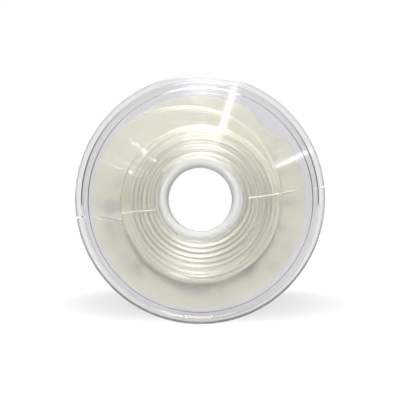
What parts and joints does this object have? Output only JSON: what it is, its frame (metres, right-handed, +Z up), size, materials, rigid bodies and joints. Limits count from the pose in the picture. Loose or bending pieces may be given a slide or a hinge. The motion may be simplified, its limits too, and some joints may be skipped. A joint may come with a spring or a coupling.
{
  "type": "fishing line spool",
  "caption": "Flat clear plastic spool of thick translucent fishing line, two rimmed flanges on a bored core with a loose free end and a round rear label.",
  "frame": {"origin": "centre of the bore, half way along the spool's width", "axes": "+Y along the bore from the front face to the rear face, +X to the right seen from the front, +Z up as it stands on its rim"},
  "size_m": [0.1, 0.016, 0.1],
  "materials": {
    "clear_plastic": "clear moulded polystyrene, glossy",
    "line": "translucent nylon monofilament, glossy",
    "label_paper": "matt cream paper, seen from its back through the flange"
  },
  "bodies": {
    "spool": {"rear_flange": "clear_plastic", "hub_core": "clear_plastic", "rear_label": "label_paper"},
    "front": {"front_flange": "clear_plastic"},
    "line": {"line_winding": "line", "line_tail": "line"}
  },
  "joints": [
    {"name": "front_flange_pull", "type": "slide", "parent": "spool", "child": "front", "axis": [0, -1, 0], "range_m": [0, 0.025]},
    {"name": "line_payout", "type": "hinge", "parent": "spool", "child": "line", "pos_m": [0, 0, 0], "axis": [0, -1, 0], "continuous": true}
  ]
}
